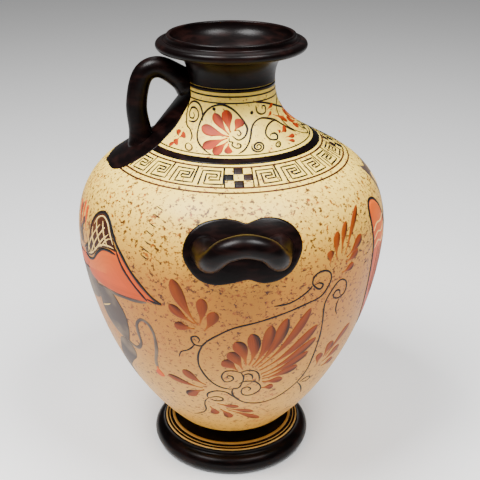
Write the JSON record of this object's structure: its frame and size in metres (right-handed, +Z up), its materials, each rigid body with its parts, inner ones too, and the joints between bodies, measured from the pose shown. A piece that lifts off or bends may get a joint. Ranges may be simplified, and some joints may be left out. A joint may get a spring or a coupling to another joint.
{
  "type": "water jar vase",
  "caption": "Cream and black painted clay water jar with a flaring lip, an upright back handle and two side handles on a disc foot.",
  "frame": {"origin": "centre of the foot's resting face, on the table", "axes": "+Z up along the pot's axis; +X towards the painted front, with the upright back handle on -X; the side handles stand on +Y (left) and -Y (right)"},
  "size_m": [0.2064, 0.257, 0.3],
  "materials": {
    "cream_slip": "satin",
    "black_gloss": "satin"
  },
  "bodies": {
    "root": {"foot": "black_gloss", "belly": "cream_slip", "shoulder": "cream_slip", "neck": "cream_slip", "mouth": "black_gloss", "back_handle": "black_gloss", "side_handle_left": "black_gloss", "side_handle_right": "black_gloss"}
  },
  "joints": []
}
